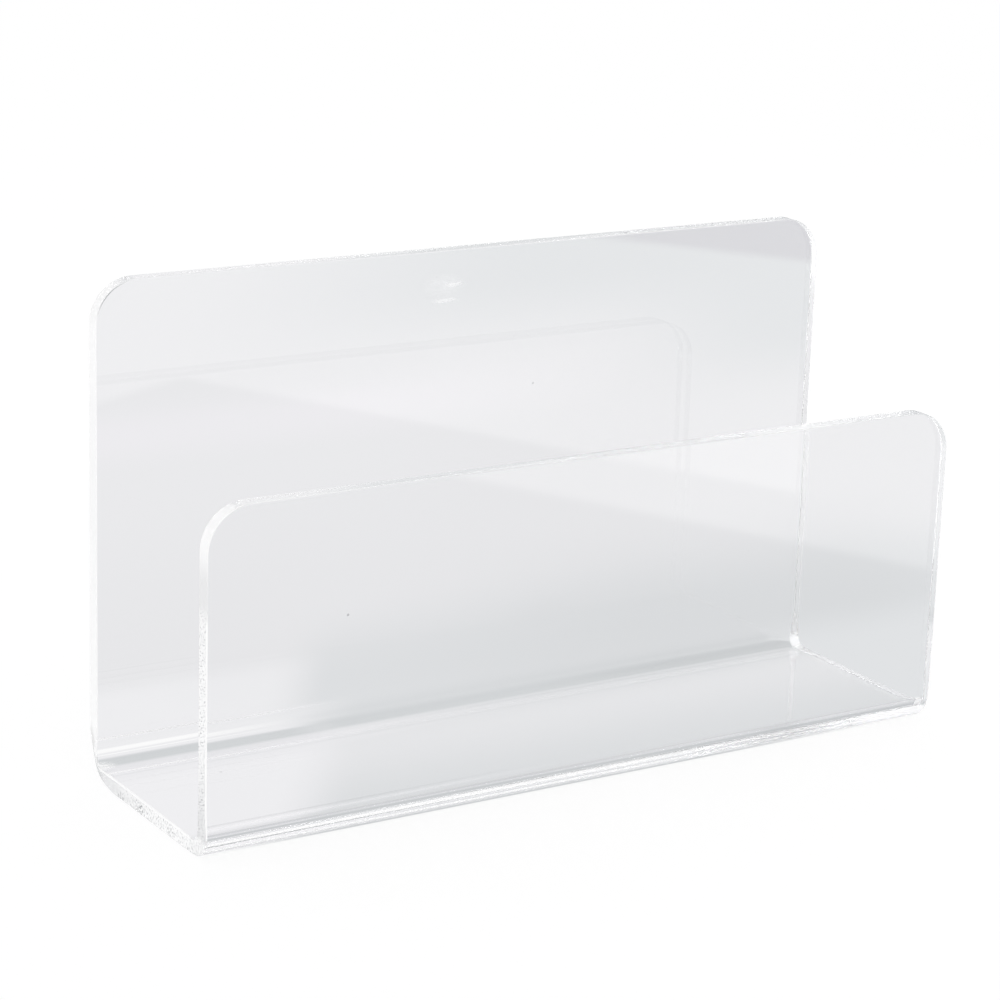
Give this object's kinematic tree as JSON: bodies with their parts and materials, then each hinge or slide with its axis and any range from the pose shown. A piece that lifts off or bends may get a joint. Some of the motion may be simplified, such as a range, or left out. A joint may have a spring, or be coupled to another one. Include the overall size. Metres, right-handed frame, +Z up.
{
  "type": "letter organizer",
  "caption": "Clear acrylic sheet folded into a tall back, flat base and lower front with rounded corners, holding letters on edge in the open-ended slot between them.",
  "frame": {"origin": "centre of the underside of the base, on the surface that the organizer stands on", "axes": "+X along the width, +Y from the lower front towards the tall back, +Z up"},
  "size_m": [0.254, 0.075, 0.149],
  "materials": {
    "clear_acrylic": "clear polished acrylic sheet with cut edges"
  },
  "bodies": {
    "root": {"folded_sheet": "clear_acrylic"}
  },
  "joints": []
}
